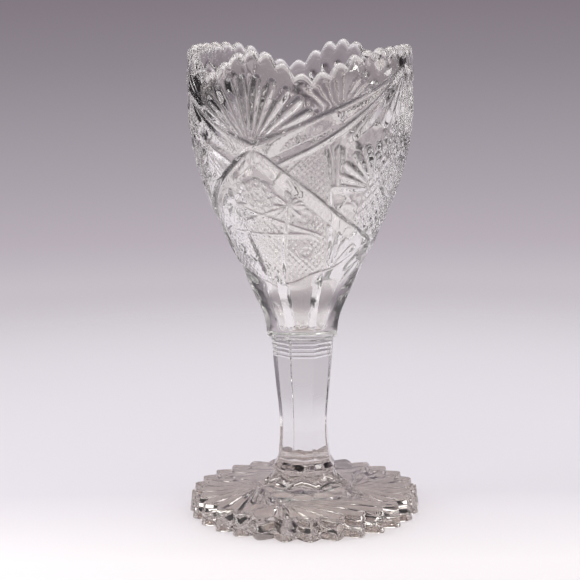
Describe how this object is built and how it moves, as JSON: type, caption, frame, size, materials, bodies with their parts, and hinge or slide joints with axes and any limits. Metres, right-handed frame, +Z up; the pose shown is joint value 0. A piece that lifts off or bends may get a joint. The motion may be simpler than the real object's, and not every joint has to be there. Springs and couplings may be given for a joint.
{
  "type": "pedestal vase",
  "caption": "Clear pressed glass pedestal vase with a lobed, beaded rim, a star-and-fan patterned tapering bowl, an octagonal stem and a toothed round foot.",
  "frame": {"origin": "middle of the vase's box, on the plane that the foot's rest ring stands on", "axes": "+Z up along the stem; -Y is the side that the picture shows"},
  "size_m": [0.1234, 0.1234, 0.25],
  "materials": {
    "clear_glass": "fire-polished pressed glass, smooth and glossy"
  },
  "bodies": {
    "root": {"foot": "clear_glass", "stem": "clear_glass", "bowl": "clear_glass"}
  },
  "joints": []
}
